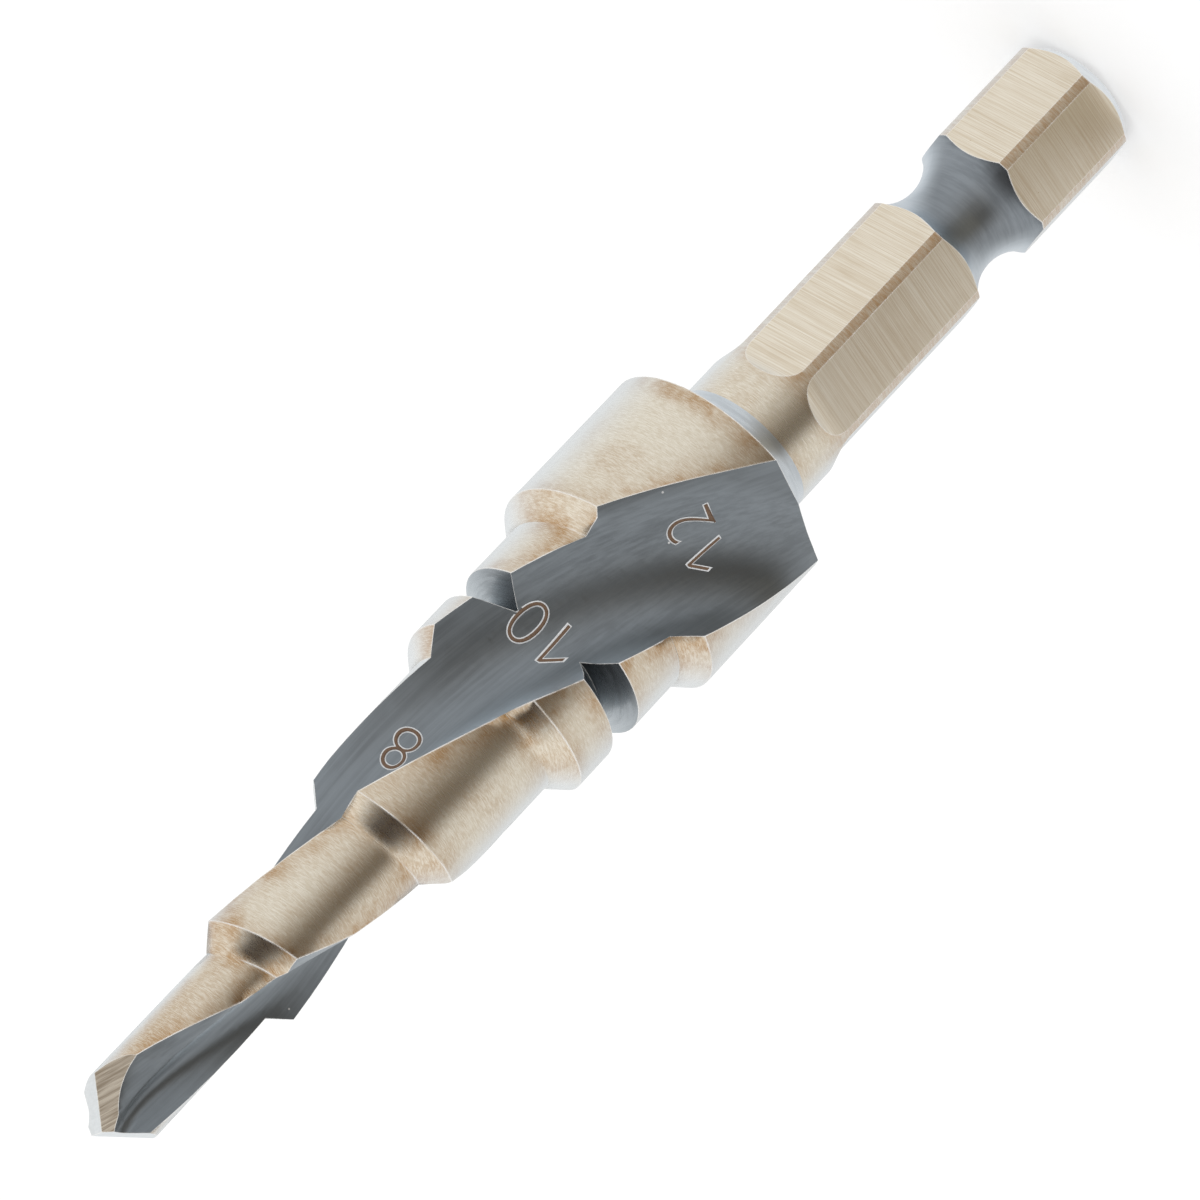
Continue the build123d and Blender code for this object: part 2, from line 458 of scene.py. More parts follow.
@dataclass(frozen=True)
class MetalFinish:
    """Ground or turned metal: its colours, how rough it is and the lines that the wheel left.

    The slant colour is a painted sheen, paler where the metal is seen at a slant. Edges carry a
    painted highlight, pale and less metallic, partly a worn burr, and the lift for reflections is
    painted light that pales metal where other metal reflects it.
    """

    name: str
    light: Colour
    dark: Colour
    tint: Colour
    # Pale colour of the painted highlight along sharp edges, partly a worn burr.
    edge: Colour
    roughness_low: float
    roughness_high: float
    lines_per_mm: float
    line_length_per_mm: float
    line_depth_mm: float
    edge_width_mm: float
    tint_amount: float = 0.2
    line_effect: Effect = Effect.TURNED_LINES
    line_contrast: float = 0.55
    least_streak: float = 0.35
    edge_tint_mm: float = 0.0
    least_edge_streak: float = 0.65
    full_edge_streak: float = 0.8
    least_blotch: float = 0.5
    full_blotch: float = 0.6
    soft_feet: bool = False
    foot_samples: int = 8
    # Painted sheen: colour that the metal pales towards where it is seen at a slant.
    painted_sheen: Colour = (0.80, 0.85, 0.88)
    painted_sheen_amount: float = 0.9
    painted_sheen_starts: float = 0.3
    painted_sheen_full: float = 0.85
    pit_amount: float = 0.6
    dust: Colour = (0.9, 0.9, 0.9)
    dust_amount: float = 0.7
    dust_share: float = 0.0
    shank_tint: float = 0.0
    corner_tint: Colour = (0.52, 0.31, 0.14)
    # How much less metallic the painted edge highlight is, partly as a worn burr.
    burr_and_highlight_metal_loss: float = 0.85
    # Painted light: paler colour that the metal takes where other metal reflects it.
    mirrored: Colour = (0.86, 0.90, 0.93)
    painted_reflection_lift: float = 0.0

    def build(self, effects: EffectLibrary) -> bpy.types.Material:
        """Make the material.

        Args:
            effects: Shared shader groups.

        Returns:
            The finished material.
        """
        material, sheet, metal = new_material(self.name)
        lines = effects.place(sheet, self.line_effect, Lines_per_mm=self.lines_per_mm,
                              Length_per_mm=self.line_length_per_mm)
        colour = self._ground_colour(sheet, effects, lines)
        if self.shank_tint:
            colour = self._shank_corners(sheet, effects, colour)
        colour = self._speckled(sheet, effects, colour)
        # Painted sheen: the colour pales towards the slant colour where the metal is seen at a
        # slant.
        sight = sheet.fill(sheet.node("LayerWeight"), Blend=0.5)
        painted_sheen = sheet.span(sight.outputs["Facing"], self.painted_sheen_starts, self.painted_sheen_full,
                             0.0, self.painted_sheen_amount)
        colour = sheet.blend(painted_sheen, colour, self.painted_sheen)
        # Painted highlight along sharp edges: pale and less metallic, partly as a worn burr.
        edge_highlight_and_burr = effects.place(sheet, Effect.EDGE_WEAR, Width_mm=self.edge_width_mm)
        if self.soft_feet:
            in_foot = self._near_foot(sheet, effects.sizes, effects.sizes.foot_line_reach)
            edge_highlight_and_burr = sheet.math("MULTIPLY", edge_highlight_and_burr, sheet.math("SUBTRACT", 1.0, in_foot))
        colour = sheet.blend(edge_highlight_and_burr, colour, self.edge)
        # Painted light: the metal is paler where other metal reflects it.
        if self.painted_reflection_lift:
            glossy = sheet.node("LightPath").outputs["Is Glossy Ray"]
            painted_reflection_share = sheet.math("MULTIPLY", glossy, self.painted_reflection_lift)
            colour = sheet.blend(painted_reflection_share, colour, self.mirrored)
        metallic = sheet.math("MULTIPLY_ADD", edge_highlight_and_burr, -self.burr_and_highlight_metal_loss, 1.0)
        rough = sheet.span(lines, 0.0, 1.0, self.roughness_low, self.roughness_high)
        bump = sheet.fill(sheet.node("Bump"), Distance=self.line_depth_mm * MM, Height=lines)
        if self.soft_feet:
            sheet.fill(bump, Normal=self._soft_feet(sheet, effects.sizes))
        sheet.fill(metal, Base_Color=colour, Metallic=metallic, Roughness=rough,
                   Normal=bump.outputs[0])
        return material

    def _ground_colour(self, sheet: Sheet, effects: EffectLibrary, lines: Any) -> Socket:
        """Light and dark lines with heat tint, in patches and along the edges.

        Args:
            sheet: The material's sheet.
            effects: Shared shader groups.
            lines: Mask of the lines.

        Returns:
            The colour.
        """
        patches = effects.place(sheet, Effect.SMUDGES, Patches_per_mm=0.33)
        shown = sheet.math("MULTIPLY", lines, self.line_contrast)
        colour = sheet.blend(shown, self.light, self.dark)
        streaks = sheet.span(lines, 0.0, 1.0, self.least_streak)
        streaky = sheet.math("MULTIPLY", patches, streaks)
        colour = sheet.blend(sheet.math("MULTIPLY", streaky, self.tint_amount), colour, self.tint)
        if self.edge_tint_mm:
            near_edge = effects.place(sheet, Effect.EDGE_WEAR, Width_mm=self.edge_tint_mm)
            blotches = effects.place(sheet, Effect.SMUDGES, Patches_per_mm=0.4, Offset=4.0)
            streaks = sheet.span(lines, 0.0, self.full_edge_streak, self.least_edge_streak)
            streaked = sheet.math("MULTIPLY", near_edge, streaks)
            blotched = sheet.span(blotches, 0.0, self.full_blotch, self.least_blotch)
            colour = sheet.blend(sheet.math("MULTIPLY", streaked, blotched), colour, self.tint)
        return colour

    def _speckled(self, sheet: Sheet, effects: EffectLibrary, colour: Any) -> Socket:
        """Dark pits, and specks of dust where the finish has some.

        Args:
            sheet: The material's sheet.
            effects: Shared shader groups.
            colour: Colour so far.

        Returns:
            The speckled colour.
        """
        pits = effects.place(sheet, Effect.SPECKS, Cells_per_mm=1.6, Size=0.05, Share=0.12)
        colour = sheet.blend(sheet.math("MULTIPLY", pits, self.pit_amount), colour, self.dark)
        if self.dust_share:
            dust = effects.place(sheet, Effect.SPECKS, Cells_per_mm=0.9, Size=0.05,
                                 Share=self.dust_share)
            colour = sheet.blend(sheet.math("MULTIPLY", dust, self.dust_amount), colour, self.dust)
        return colour

    @staticmethod
    def _near_foot(sheet: Sheet, sizes: DrillSizes, reach: float) -> Socket:
        """Mask of the foot of each cone, where it meets the smaller land.

        Args:
            sheet: The material's sheet.
            sizes: Sizes of the drill.
            reach: How far the mask reaches along the axis, in millimetres.

        Returns:
            The mask's socket.
        """
        height = sheet.parts(sheet.millimetres())[2]
        first_foot = sizes.length - sizes.first_step_reach + sizes.radius_step
        below = sheet.math("SUBTRACT", first_foot, height)
        half_pitch = sizes.step_pitch / 2
        nearest = sheet.math("ABSOLUTE", sheet.math("WRAP", below, half_pitch, -half_pitch))
        lowest = sizes.rim_height + sizes.plain_above_rim
        in_steps = sheet.math("GREATER_THAN", height, lowest)
        return sheet.math("MULTIPLY", sheet.span(nearest, reach, reach / 2), in_steps)

    def _soft_feet(self, sheet: Sheet, sizes: DrillSizes) -> Socket:
        """Normals rounded where the foot of a cone meets the smaller land.

        Args:
            sheet: The material's sheet.
            sizes: Sizes of the drill.

        Returns:
            The normal's socket.
        """
        near_foot = self._near_foot(sheet, sizes, sizes.foot_reach)
        radius = sheet.math("MULTIPLY", near_foot, sizes.foot_radius * MM)
        return sheet.fed("Bevel", radius, samples=self.foot_samples).outputs[0]

    def _shank_corners(self, sheet: Sheet, effects: EffectLibrary, colour: Any) -> Socket:
        """Brown, streaked tint on the rounded corners of the hexagon.

        Args:
            sheet: The material's sheet.
            effects: Shared shader groups.
            colour: Colour so far.

        Returns:
            The tinted colour.
        """
        height = sheet.parts(sheet.millimetres())[2]
        below = sheet.span(height, effects.sizes.corner_tint_full, effects.sizes.corner_tint_gone,
                           1.0, 0.0)
        streaks = effects.place(sheet, Effect.TURNED_LINES, Lines_per_mm=7.0, Length_per_mm=1.1,
                                Offset=7.0)
        amount = sheet.math("MULTIPLY", sheet.math("MULTIPLY", below, streaks), self.shank_tint)
        return sheet.blend(amount, colour, self.corner_tint)


GOLD_LAND = MetalFinish(
    name="straw_gold_land", light=(0.87, 0.82, 0.71), dark=(0.60, 0.505, 0.36),
    tint=(0.44, 0.25, 0.10), edge=(0.97, 0.97, 0.96), roughness_low=0.25, roughness_high=0.31,
    lines_per_mm=20.0, line_length_per_mm=2.6, line_depth_mm=0.0012, tint_amount=0.3,
    edge_width_mm=0.12, shank_tint=0.7, soft_feet=True, edge_tint_mm=2.2,
)
GOLD_FLAT = MetalFinish(
    name="straw_gold_flat", light=(0.92, 0.86, 0.74), dark=(0.60, 0.47, 0.30),
    tint=(0.56, 0.42, 0.26), edge=(0.97, 0.97, 0.96), roughness_low=0.28, roughness_high=0.40,
    lines_per_mm=22.0, line_length_per_mm=0.2, line_depth_mm=0.0025, edge_width_mm=0.11,
)
FLUTE_STEEL = MetalFinish(
    name="flute_steel", light=(0.242, 0.268, 0.290), dark=(0.182, 0.202, 0.218),
    tint=(0.135, 0.145, 0.152), edge=(0.92, 0.91, 0.89), roughness_low=0.36, roughness_high=0.42,
    line_effect=Effect.FLUTE_LINES, lines_per_mm=5.0, line_length_per_mm=0.1,
    line_depth_mm=0.0008, tint_amount=0.3, edge_width_mm=0.04, line_contrast=0.45,
    painted_sheen=(0.44, 0.49, 0.53), dust_share=0.22, painted_reflection_lift=0.8,
)
GROOVE_STEEL = MetalFinish(
    name="groove_steel", light=(0.28, 0.307, 0.333), dark=(0.20, 0.22, 0.238),
    tint=(0.09, 0.10, 0.11), edge=(0.90, 0.88, 0.85), roughness_low=0.34, roughness_high=0.40,
    lines_per_mm=6.0, line_length_per_mm=0.5, line_depth_mm=0.0008, edge_width_mm=0.05,
    line_contrast=0.3, painted_sheen=(0.66, 0.73, 0.79), edge_tint_mm=0.5,
)
NECK_STEEL = MetalFinish(
    name="neck_steel", light=(0.66, 0.71, 0.75), dark=(0.50, 0.54, 0.57), tint=(0.34, 0.36, 0.38),
    edge=(0.95, 0.95, 0.94), roughness_low=0.26, roughness_high=0.34, lines_per_mm=5.0,
    line_length_per_mm=0.5, line_depth_mm=0.002, edge_width_mm=0.12, painted_sheen=(0.72, 0.78, 0.83),
)
CHIP_GROOVE_STEEL = MetalFinish(
    name="chip_groove_steel", light=(0.26, 0.275, 0.29), dark=(0.10, 0.105, 0.11),
    tint=(0.16, 0.17, 0.18), edge=(0.90, 0.88, 0.85), roughness_low=0.22, roughness_high=0.34,
    lines_per_mm=8.0, line_length_per_mm=0.3, line_depth_mm=0.003, edge_width_mm=0.06,
    line_contrast=0.7, painted_sheen=(0.50, 0.56, 0.60),
)
POINT_LIP_STEEL = MetalFinish(
    name="point_lip_steel", light=(0.62, 0.61, 0.59), dark=(0.42, 0.40, 0.37),
    tint=(0.62, 0.56, 0.48), edge=(0.95, 0.94, 0.91), roughness_low=0.28, roughness_high=0.40,
    lines_per_mm=10.0, line_length_per_mm=2.6, line_depth_mm=0.003, tint_amount=0.3,
    edge_width_mm=0.06,
)
POINT_HEEL_STEEL = MetalFinish(
    name="point_heel_steel", light=(0.51, 0.45, 0.37), dark=(0.22, 0.17, 0.12),
    tint=(0.38, 0.26, 0.15), edge=(0.95, 0.94, 0.91), roughness_low=0.26, roughness_high=0.38,
    line_effect=Effect.POINT_LINES, lines_per_mm=7.0, line_length_per_mm=0.25,
    line_depth_mm=0.004, tint_amount=0.3, edge_width_mm=0.06, line_contrast=0.8,
)
BARE_END = MetalFinish(
    name="bare_end_steel", light=(0.82, 0.83, 0.84), dark=(0.60, 0.60, 0.60),
    tint=(0.66, 0.62, 0.56), edge=(0.95, 0.94, 0.92), roughness_low=0.28, roughness_high=0.42,
    lines_per_mm=5.0, line_length_per_mm=0.8, line_depth_mm=0.003, edge_width_mm=0.07,
)
FINISHES = dict(zip(Finish, (
    GOLD_LAND, GOLD_FLAT, FLUTE_STEEL, GROOVE_STEEL, POINT_LIP_STEEL, POINT_HEEL_STEEL, BARE_END,
    CHIP_GROOVE_STEEL, NECK_STEEL,
)))


def only(piece: Piece) -> None:
    """Make a piece the only selected and active object.

    Args:
        piece: The piece.
    """
    bpy.ops.object.select_all(action="DESELECT")
    piece.select_set(True)
    bpy.context.view_layer.objects.active = piece


def edit_all() -> None:
    """Enter edit mode with the whole mesh selected."""
    bpy.ops.object.mode_set(mode="EDIT")
    bpy.ops.mesh.select_all(action="SELECT")


@dataclass(frozen=True)
class FaceLimits:
    """What tells the faces apart: cosines of their directions, and places in millimetres."""

    slack: float = 0.01
    wide_slack: float = 0.02
    point_reach: float = 5.0
    heel_rise: float = 0.33
    lip_rise: float = 0.6
    cone_rise: float = math.sqrt(0.5)
    cone_rise_slack: float = 0.06
    cone_outward: float = 0.55
    land_fall: float = 0.055
    land_outward: float = 0.9
    groove_sideways: float = 0.1
    groove_rise: float = 0.7
    end_fall: float = 0.3
    flat_facing: float = 0.9999
    turned_outward: float = 0.99


@dataclass
class DrillBody:
    """The ground drill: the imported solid's surface, merged, smoothed and dressed face by face."""

    sizes: DrillSizes
    smooth_angle: float = 24.0
    flute_smooth_angle: float = 48.0
    wall_angle: float = 18.0
    border_angle: float = 3.0
    merge_gap: float = 0.0005
    limits: FaceLimits = FaceLimits()
    piece: Piece | None = None

    def build(self, node: Piece, effects: EffectLibrary) -> Piece:
        """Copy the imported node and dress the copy.

        Args:
            node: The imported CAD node.
            effects: Shared shader groups.

        Returns:
            The finished piece.
        """
        self.piece = bpy.data.objects.new("drill_body", node.data.copy())
        bpy.context.scene.collection.objects.link(self.piece)
        only(self.piece)
        edit_all()
        bpy.ops.mesh.remove_doubles(threshold=self.merge_gap * MM)
        bpy.ops.mesh.customdata_custom_splitnormals_clear()
        bpy.ops.object.mode_set(mode="OBJECT")
        bpy.ops.object.shade_smooth_by_angle(angle=math.radians(self.smooth_angle))
        self.dress(effects)
        self.part_finishes()
        return self.piece

    def part_finishes(self) -> None:
        """Keep edges sharp between finishes, and let the walls of a flute run into each other."""
        mesh = self.piece.data
        beside: dict[tuple[int, int], list[bpy.types.MeshPolygon]] = {}
        for face in mesh.polygons:
            for key in face.edge_keys:
                beside.setdefault(key, []).append(face)
        sharp = (mesh.attributes.get("sharp_edge")
                 or mesh.attributes.new("sharp_edge", "BOOLEAN", "EDGE"))
        for edge in mesh.edges:
            first, second = beside[edge.key][0], beside[edge.key][-1]
            if first.material_index != second.material_index:
                smooth_within = self.border_angle
            elif first.material_index == Finish.FLUTE.value:
                smooth_within = self.flute_smooth_angle
            else:
                continue
            turn = math.degrees(first.normal.angle(second.normal, 0.0))
            sharp.data[edge.index].value = turn > smooth_within

    def dress(self, effects: EffectLibrary) -> None:
        """Give each face the finish of its place.

        Args:
            effects: Shared shader groups.
        """
        mesh = self.piece.data
        mesh.materials.clear()
        for finish in Finish:
            mesh.materials.append(FINISHES[finish].build(effects))
        for face in mesh.polygons:
            corners = [mesh.vertices[index].co / MM for index in face.vertices]
            face.material_index = self.finish_at(face.center / MM, face.normal, corners).value
        self.settle_walls(mesh)

    def settle_walls(self, mesh: bpy.types.Mesh) -> None:
        """Give every wall above the rim the finish that most of it has.

        Args:
            mesh: The body's mesh, dressed face by face.
        """
        beside: dict[tuple[int, int], list[int]] = {}
        for face in mesh.polygons:
            if face.center.z > (self.sizes.rim_height + self.limits.slack) * MM:
                for key in face.edge_keys:
                    beside.setdefault(key, []).append(face.index)
        near: dict[int, list[int]] = {}
        for pair in (pair for pair in beside.values() if len(pair) == 2):
            first, second = (mesh.polygons[index] for index in pair)
            if first.normal.angle(second.normal, 0.0) < math.radians(self.wall_angle):
                near.setdefault(pair[0], []).append(pair[1])
                near.setdefault(pair[1], []).append(pair[0])
        seen: set[int] = set()
        for start in near:
            wall, edge_of_wall = [], [start]
            while edge_of_wall:
                index = edge_of_wall.pop()
                if index not in seen:
                    seen.add(index)
                    wall.append(mesh.polygons[index])
                    edge_of_wall.extend(near[index])
            areas = [sum(face.area for face in wall if face.material_index == finish.value)
                     for finish in Finish]
            for face in wall:
                face.material_index = areas.index(max(areas))

    def finish_at(self, centre: Vector, normal: Vector, corners: list[Vector]) -> Finish:
        """Tell which finish a face has.

        Args:
            centre: Centre of the face, in millimetres.
            normal: Its direction.
            corners: Its corners, in millimetres.

        Returns:
            The finish.
        """
        radius = math.hypot(centre.x, centre.y)
        outward = Vector((centre.x, centre.y, 0.0)).normalized()
        facing_out = normal.dot(outward)
        limits = self.limits
        if centre.z < self.sizes.rim_height + limits.slack:
            return self._shank_finish(centre, normal, radius, facing_out)
        if centre.z > self.sizes.length - limits.point_reach and normal.z > limits.heel_rise:
            return Finish.POINT_LIP if normal.z > limits.lip_rise else Finish.POINT_HEEL
        as_a_cone = abs(normal.z - limits.cone_rise) < limits.cone_rise_slack
        if self.sizes.on_cone(centre.z) and as_a_cone and facing_out > limits.cone_outward:
            return Finish.LAND
        radii = [math.hypot(corner.x, corner.y) for corner in corners]
        on_land = any(all(-limits.land_fall < r - land < limits.slack for r in radii)
                      for land in self.sizes.land_radii())
        if on_land and facing_out > limits.land_outward:
            return Finish.LAND
        in_groove = self.sizes.chip_groove_low < centre.z < self.sizes.chip_groove_high
        sideways = abs(normal.dot(Vector((-outward.y, outward.x, 0.0))))
        if in_groove and sideways < limits.groove_sideways and abs(normal.z) > limits.groove_rise:
            return Finish.CHIP_GROOVE
        return Finish.FLUTE

    def _shank_finish(self, centre: Vector, normal: Vector, radius: float,
                      facing_out: float) -> Finish:
        """Tell which finish a face behind the rim has.

        Args:
            centre: Centre of the face, in millimetres.
            normal: Its direction.
            radius: Its distance from the axis.
            facing_out: How far it faces away from the axis.

        Returns:
            The finish.
        """
        limits = self.limits
        if centre.z < self.sizes.end_chamfer and normal.z < -limits.end_fall:
            return Finish.SHANK_END
        if centre.z > self.sizes.neck_top - limits.wide_slack:
            return Finish.NECK
        bearings = [math.radians(30 + 60 * k) for k in range(6)]
        flat = max(normal.x * math.cos(b) + normal.y * math.sin(b) for b in bearings)
        depth = max(centre.x * math.cos(b) + centre.y * math.sin(b) for b in bearings)
        at_depth = abs(depth - self.sizes.hex_half_width) < limits.slack
        if flat > limits.flat_facing and at_depth:
            return Finish.HEX_FLAT
        in_detent = self.sizes.detent_low < centre.z < self.sizes.detent_high
        if in_detent and radius < self.sizes.corner_radius - limits.wide_slack:
            return Finish.GROOVE
        return Finish.LAND if facing_out > limits.turned_outward else Finish.HEX_FLAT


@dataclass(frozen=True)
class Glyph:
    """One numeral of a step mark, by the place of its middle on the flute."""

    text: str
    reach: float
    bearing: float
    size: float = 1.0

    def outward(self) -> Vector:
        """Direction from the drill's axis to the numeral."""
        angle = math.radians(self.bearing)
        return Vector((math.cos(angle), math.sin(angle), 0.0))


@dataclass(frozen=True)
class MarkLayer:
    """One of the two layers of a mark: its line's width, how far it stands out and its colour."""

    name: str
    stroke: float
    thickness: float
    colour: Colour
    roughness: float
    metallic: float = 0.1
    mottles_per_mm: float = 6.0
    mottle_octaves: float = 3.0
    darkest: float = 0.6


MARK_RIM = MarkLayer("mark_rims", 0.26, 0.005, (0.92, 0.93, 0.94), 0.5)
MARK_CORE = MarkLayer("mark_cores", 0.140, 0.016, (0.21, 0.125, 0.075), 0.6)


@dataclass
class StepMarks:
    """Plain size numbers, marked into the flute beside their steps."""

    sizes: DrillSizes
    glyphs: tuple[Glyph, ...]
    height: float = 2.3
    font_stroke: float = 0.29
    flag_width: float = 0.80
    flag_drop: float = 0.64
    flag_root: float = 1.29
    flag_slack: float = 0.01
    curve_steps: int = 8
    cut_share: float = 0.75
    cut_spacing: float = 0.12
    search_depth: float = 1.2
    search_start: float = 20.0

    def build(self, body: Piece) -> list[Piece]:
        """Make the pale rims and brown cores of all numerals.

        Args:
            body: The drill's body, which the numerals lie on.

        Returns:
            Two pieces: rims and cores.
        """
        return [self._layer(body, layer) for layer in (MARK_RIM, MARK_CORE)]

    def _layer(self, body: Piece, layer: MarkLayer) -> Piece:
        """Make one layer of all numerals.

        Args:
            body: What the numerals lie on.
            layer: Which layer.

        Returns:
            The joined piece.
        """
        made = [self._numeral(body, glyph, layer) for glyph in self.glyphs]
        bpy.ops.object.select_all(action="DESELECT")
        for piece in made:
            piece.select_set(True)
        bpy.context.view_layer.objects.active = made[0]
        bpy.ops.object.join()
        piece = bpy.context.view_layer.objects.active
        piece.name = layer.name
        piece.data.name = layer.name
        piece.data.materials.clear()
        piece.data.materials.append(self._ink(layer))
        return piece

    def _numeral(self, body: Piece, glyph: Glyph, layer: MarkLayer) -> Piece:
        """Model one numeral on the flute.

        Args:
            body: What it lies on.
            glyph: Which numeral, and where.
            layer: Which layer of it.

        Returns:
            The numeral's piece.
        """
        piece = self._flat_one(layer) if glyph.text == "1" else self._flat_text(glyph, layer)
        only(piece)
        piece.scale = (glyph.size, glyph.size, glyph.size)
        bpy.ops.object.transform_apply(location=False, rotation=False, scale=True)
        self._cut_up(piece)
        piece.matrix_world = self._seat(body, glyph)
        wrap = piece.modifiers.new("seat", "SHRINKWRAP")
        wrap.target = body
        wrap.wrap_method = "PROJECT"
        wrap.use_project_z = True
        wrap.use_negative_direction = True
        wrap.use_positive_direction = True
        wrap.project_limit = self.search_depth * MM
        bpy.ops.object.modifier_apply(modifier=wrap.name)
        bpy.ops.object.transform_apply(location=True, rotation=True, scale=True)
        self._face_out(piece, glyph)
        wall = piece.modifiers.new("height", "SOLIDIFY")
        wall.thickness = 2 * layer.thickness * MM
        wall.offset = 0.0
        bpy.ops.object.modifier_apply(modifier=wall.name)
        return piece

    def _flat_text(self, glyph: Glyph, layer: MarkLayer) -> Piece:
        """Numeral from the font, flat, with its line made as wide as the layer asks.

        Args:
            glyph: Which numeral.
            layer: Which layer of it.

        Returns:
            The flat piece.
        """
        bpy.ops.object.select_all(action="DESELECT")
        bpy.ops.object.text_add()
        text = bpy.context.object
        text.data.body = glyph.text
        text.data.resolution_u = self.curve_steps
        bpy.context.view_layer.update()
        scale = self.height * MM / text.dimensions.y
        box = text.bound_box
        middle = sum((Vector(corner) for corner in box), Vector()) / len(box)
        text.data.offset = (layer.stroke - self.font_stroke) / 2 * MM / scale
        bpy.ops.object.convert(target="MESH")
        piece = bpy.context.object
        piece.scale = (scale, scale, scale)
        piece.location = -scale * middle
        bpy.ops.object.transform_apply(location=True, rotation=False, scale=True)
        return piece

    def _flat_one(self, layer: MarkLayer) -> Piece:
        """Numeral one, flat: an upright bar with a long flag at its top.

        Args:
            layer: Which layer of it.

        Returns:
            The flat piece.
        """
        spare = (layer.stroke - MARK_CORE.stroke) / 2
        tall = (self.height - MARK_RIM.stroke + MARK_CORE.stroke + 2 * spare) * MM
        wide = layer.stroke * MM
        bpy.ops.object.select_all(action="DESELECT")
        bpy.ops.mesh.primitive_plane_add(size=1.0)
        piece = bpy.context.object
        piece.scale = (wide, tall, 1.0)
        bpy.ops.object.transform_apply(location=False, rotation=False, scale=True)
        edit_all()
        root = tall / 2 - self.flag_root * wide
        bpy.ops.mesh.bisect(plane_co=(0.0, root, 0.0), plane_no=(0.0, 1.0, 0.0))
        bpy.ops.mesh.select_all(action="DESELECT")
        bpy.ops.mesh.select_mode(type="EDGE")
        bpy.ops.object.mode_set(mode="OBJECT")
        for edge in piece.data.edges:
            ends = [piece.data.vertices[i].co for i in edge.vertices]
            edge.select = all(end.x < 0 and end.y > root - self.flag_slack * wide for end in ends)
        bpy.ops.object.mode_set(mode="EDIT")
        reach = (1.0 + spare / self.flag_width) * MM
        flag = (-self.flag_width * reach, -self.flag_drop * reach, 0.0)
        bpy.ops.mesh.extrude_region_move(TRANSFORM_OT_translate={"value": flag})
        bpy.ops.mesh.select_mode(type="VERT")
        bpy.ops.object.mode_set(mode="OBJECT")
        bpy.ops.object.origin_set(type="ORIGIN_GEOMETRY", center="BOUNDS")
        piece.location = (0.0, 0.0, 0.0)
        return piece

    def _cut_up(self, piece: Piece) -> None:
        """Cut a flat numeral into short facets that can follow the flute.

        Args:
            piece: The flat numeral.
        """
        reach = self.cut_share * self.height * MM
        steps = int(2 * reach / (self.cut_spacing * MM))
        bpy.ops.object.mode_set(mode="EDIT")
        for normal in ((1, 0, 0), (0, 1, 0)):
            for step in range(1, steps):
                along = -reach + step * self.cut_spacing * MM
                bpy.ops.mesh.select_all(action="SELECT")
                bpy.ops.mesh.bisect(plane_co=[along * n for n in normal], plane_no=normal)
        bpy.ops.object.mode_set(mode="OBJECT")

    def _seat(self, body: Piece, glyph: Glyph) -> Matrix:
        """Place of a numeral on the flute, upright towards the point.

        Args:
            body: What it lies on.
            glyph: Which numeral.

        Returns:
            The numeral's matrix.
        """
        outward = glyph.outward()
        height = (self.sizes.length - glyph.reach) * MM
        start = outward * self.search_start * MM + Vector((0.0, 0.0, height))
        found, place, normal, _ = body.ray_cast(start, -outward)
        if not found:
            raise ValueError(f"no surface under numeral {glyph.text}")
        up = (Vector((0.0, 0.0, 1.0)) - normal * normal.z).normalized()
        across = up.cross(normal)
        return Matrix.Translation(place) @ Matrix((across, up, normal)).transposed().to_4x4()

    @staticmethod
    def _face_out(piece: Piece, glyph: Glyph) -> None:
        """Turn a numeral's faces away from the axis.

        Args:
            piece: The numeral.
            glyph: Which one, and where.
        """
        mean = sum((face.normal * face.area for face in piece.data.polygons), Vector())
        if mean.dot(glyph.outward()) < 0:
            only(piece)
            edit_all()
            bpy.ops.mesh.flip_normals()
            bpy.ops.object.mode_set(mode="OBJECT")

    @staticmethod
    def _ink(layer: MarkLayer) -> bpy.types.Material:
        """Burnt mark of a laser, slightly mottled.

        Args:
            layer: Which layer of it.

        Returns:
            The material.
        """
        material, sheet, surface = new_material(layer.name)
        place = sheet.scaled(sheet.millimetres(), layer.mottles_per_mm)
        mottled = sheet.noise(place, layer.mottle_octaves)
        darker = tuple(layer.darkest * value for value in layer.colour)
        sheet.fill(surface, Base_Color=sheet.blend(mottled, layer.colour, darker),
                   Roughness=layer.roughness, Metallic=layer.metallic)
        return material


def direction_at(elevation: float, bearing: float) -> Vector:
    """Direction of an elevation and a bearing, both in radians."""
    level = math.cos(elevation)
    return Vector((level * math.cos(bearing), level * math.sin(bearing), math.sin(elevation)))


@dataclass(frozen=True)
class PhotoCamera:
    """Camera of the photograph: raised towards the point, and rolled so that the drill slants."""

    reach: float = 34.18
    distance: float = 460.0
    elevation: float = 22.62
    bearing: float = -2.6
    roll: float = 46.71
    lens: float = 311.9
    sensor: float = 36.0
    clip_start: float = 0.01

    def build(self, sizes: DrillSizes) -> Piece:
        """Add the camera and make it the scene's own.

        Args:
            sizes: Sizes of the drill.

        Returns:
            The camera.
        """
        up, side, turn = (math.radians(a) for a in (self.elevation, self.bearing, self.roll))
        back = direction_at(up, side)
        across = Vector((-math.sin(side), math.cos(side), 0.0))
        down_shank = across.cross(back)
        right = math.cos(turn) * down_shank - math.sin(turn) * across
        top = math.sin(turn) * down_shank + math.cos(turn) * across
        data = bpy.data.cameras.new("photo_camera")
        data.lens = self.lens
        data.sensor_width = self.sensor
        data.clip_start = self.clip_start
        camera = bpy.data.objects.new("photo_camera", data)
        bpy.context.scene.collection.objects.link(camera)
        target = Vector((0.0, 0.0, (sizes.length - self.reach) * MM))
        pose = Matrix((right, top, back)).transposed().to_4x4()
        camera.matrix_world = Matrix.Translation(target + back * self.distance * MM) @ pose
        bpy.context.scene.camera = camera
        return camera


@dataclass(frozen=True)
class SweepStop:
    """Brightness of the light tent at one bearing from its darkest side."""

    bearing: float
    brightness: float


